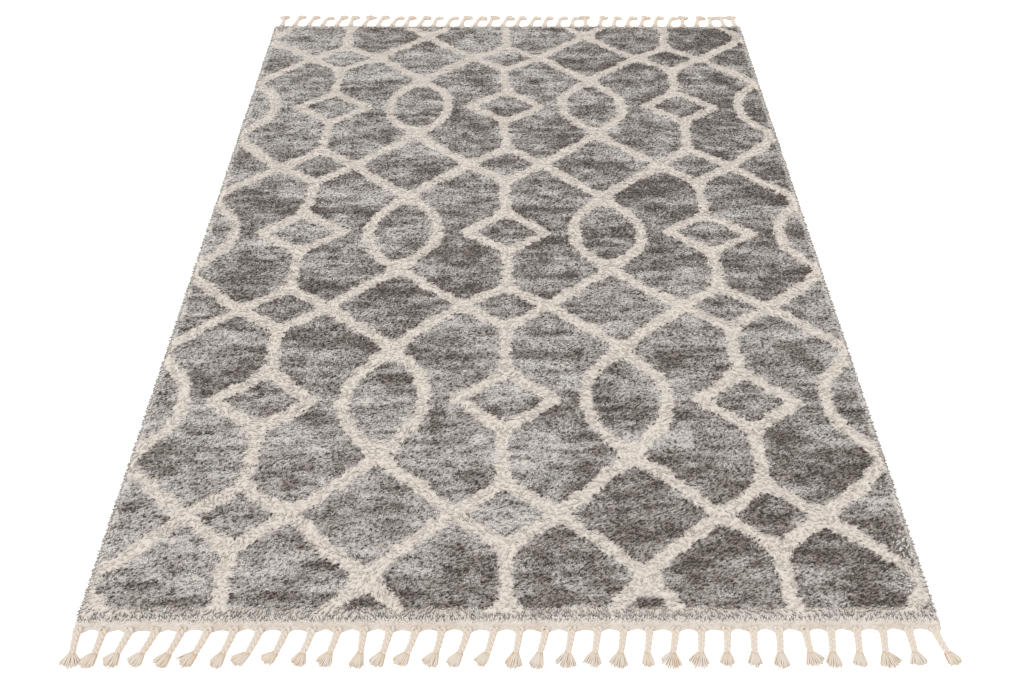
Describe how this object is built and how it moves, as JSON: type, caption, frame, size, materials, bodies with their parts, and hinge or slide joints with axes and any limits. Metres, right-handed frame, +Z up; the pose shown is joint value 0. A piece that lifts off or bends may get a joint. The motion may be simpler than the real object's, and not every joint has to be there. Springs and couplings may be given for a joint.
{
  "type": "fringed rug",
  "caption": "Rectangular shag rug with a grey and cream trellis pile and a braided cotton fringe along each short end.",
  "frame": {"origin": "centre of the rug on its flat underside", "axes": "+Z up out of the pile, +X across the rug, +Y along it, from the fringe_front end to the fringe_back end"},
  "size_m": [1.6179, 2.495, 0.0256],
  "materials": {
    "pile_yarn": "matt curled yarn, heathered grey with cream lines",
    "fringe_cotton": "matt natural cotton yarn, plaited and combed out"
  },
  "bodies": {
    "root": {"pile": "pile_yarn", "fringe_front": "fringe_cotton", "fringe_back": "fringe_cotton"}
  },
  "joints": []
}
